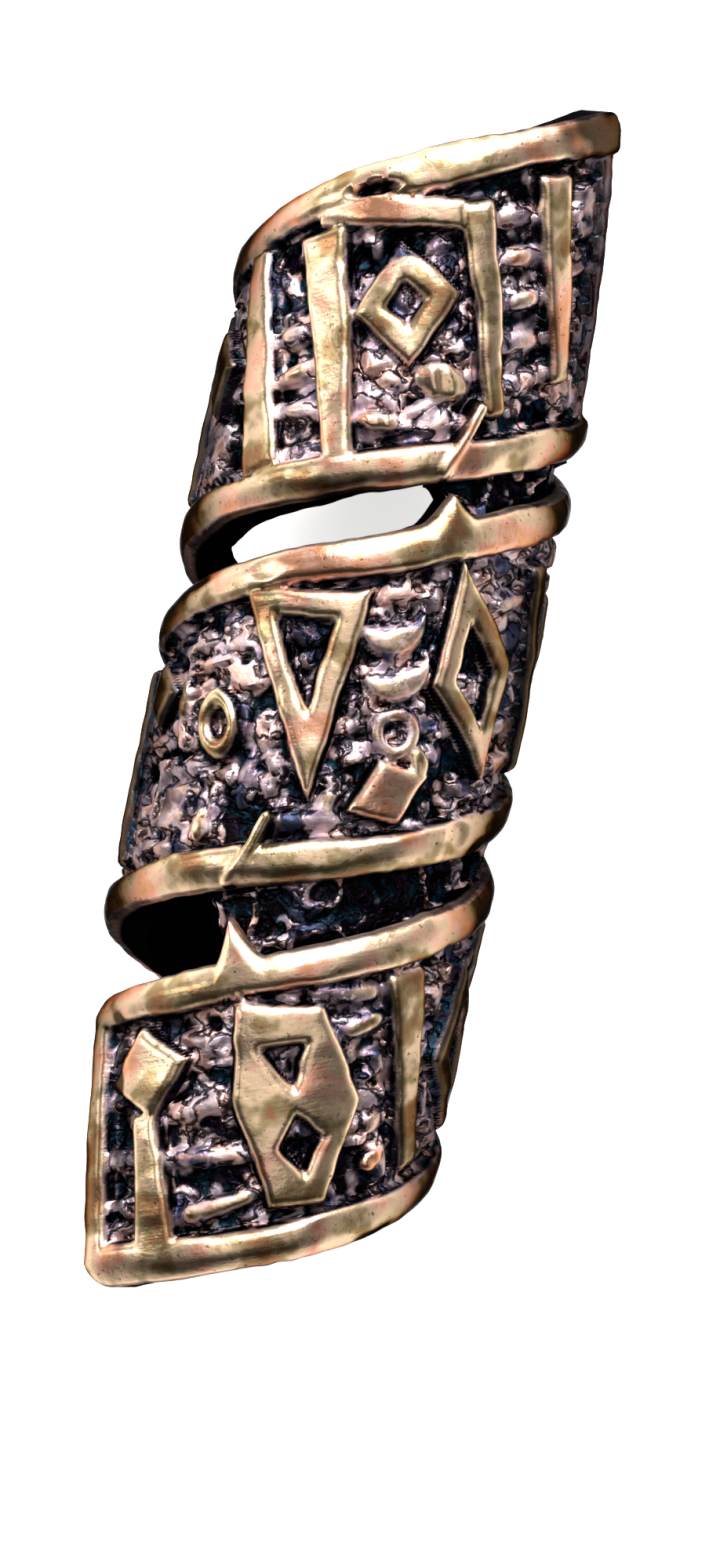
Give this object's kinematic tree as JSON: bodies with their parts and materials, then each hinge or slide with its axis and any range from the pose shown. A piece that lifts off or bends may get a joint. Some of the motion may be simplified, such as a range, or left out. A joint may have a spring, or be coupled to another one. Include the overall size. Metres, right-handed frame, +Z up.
{
  "type": "spiral dreadlock bead",
  "caption": "Open spiral hair bead, a flat cast strip with raised rims and bar, ring and lozenge marks wound into a tube for a lock of hair.",
  "frame": {"origin": "centre of the footprint, on the surface that the bead lies on", "axes": "+Y along the bore, towards the end where the strip stops; +Z up, through the side that the picture shows"},
  "size_m": [0.012, 0.0378, 0.0119],
  "materials": {
    "bronze": "cast bronze, blackened in the sunken ground and rubbed bright on the rims and marks"
  },
  "bodies": {
    "root": {"spiral_bead": "bronze"}
  },
  "joints": []
}
